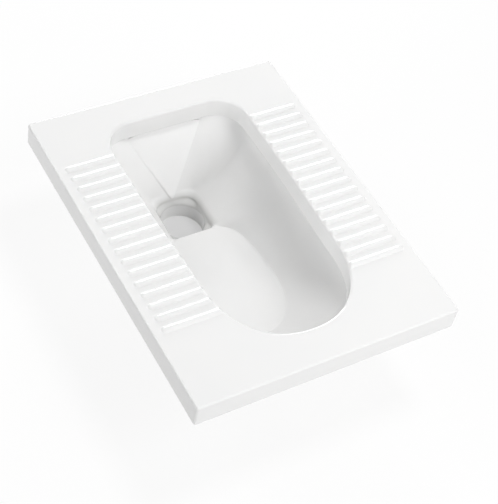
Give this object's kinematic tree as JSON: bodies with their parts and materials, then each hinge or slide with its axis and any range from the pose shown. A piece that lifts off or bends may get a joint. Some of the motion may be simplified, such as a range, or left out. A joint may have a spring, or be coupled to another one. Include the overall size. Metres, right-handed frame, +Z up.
{
  "type": "squat toilet",
  "caption": "Flat rectangular ceramic squat pan with ribbed foot treads, an egg-shaped bowl, a triangular rear spreader, a squared drain well and a bottom outlet.",
  "frame": {"origin": "on the surface that the pan stands on, under the middle of the slab", "axes": "+Z up, +Y towards the rear with the drain well and the flush inlet, +X to the right of a user who faces the rear"},
  "size_m": [0.44, 0.58, 0.2035],
  "materials": {
    "china": "glossy white sanitary glaze",
    "black_rubber": "matt moulded rubber"
  },
  "bodies": {
    "root": {"deck": "china", "bowl": "china", "spreader_plate": "china", "inlet_horn": "china", "outlet_spigot": "china", "left_foot": "china", "right_foot": "china", "flush_cone": "black_rubber", "outlet_seal": "black_rubber"}
  },
  "joints": []
}
